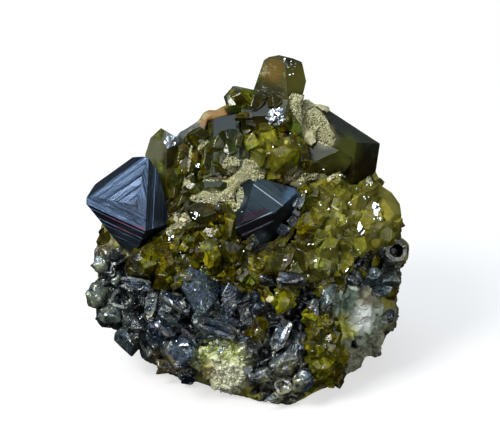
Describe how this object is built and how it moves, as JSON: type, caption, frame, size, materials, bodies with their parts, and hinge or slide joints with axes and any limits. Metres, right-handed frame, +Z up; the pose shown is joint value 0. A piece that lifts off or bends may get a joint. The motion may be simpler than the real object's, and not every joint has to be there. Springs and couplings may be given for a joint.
{
  "type": "diopside with magnetite specimen",
  "caption": "Mineral specimen with bluish steel magnetite octahedra among olive glassy diopside crystals on a dark crusted matrix, standing on a flat cut.",
  "frame": {"origin": "middle of the object's footprint, in the plane of the flat cut that it stands on", "axes": "+Z up, +X to the right as seen from the show face, which looks along -Y; the depth from show face to back is the shortest extent"},
  "size_m": [0.052, 0.0386, 0.0506],
  "materials": {
    "matrix": "satin",
    "magnetite_large": "gloss",
    "magnetite_middle": "gloss",
    "diopside_left": "gloss",
    "diopside_centre": "gloss",
    "diopside_summit": "gloss",
    "diopside_right": "gloss",
    "diopside_druse": "gloss",
    "diopside_upper": "gloss",
    "diopside_column": "gloss",
    "diopside_pocket": "gloss",
    "diopside_granular": "satin"
  },
  "bodies": {
    "root": {"matrix": "matrix", "magnetite_large": "magnetite_large", "magnetite_middle": "magnetite_middle", "diopside_left": "diopside_left", "diopside_centre": "diopside_centre", "diopside_summit": "diopside_summit", "diopside_right": "diopside_right", "diopside_druse": "diopside_druse", "diopside_upper": "diopside_upper", "diopside_column": "diopside_column", "diopside_pocket": "diopside_pocket", "diopside_granular": "diopside_granular"}
  },
  "joints": []
}
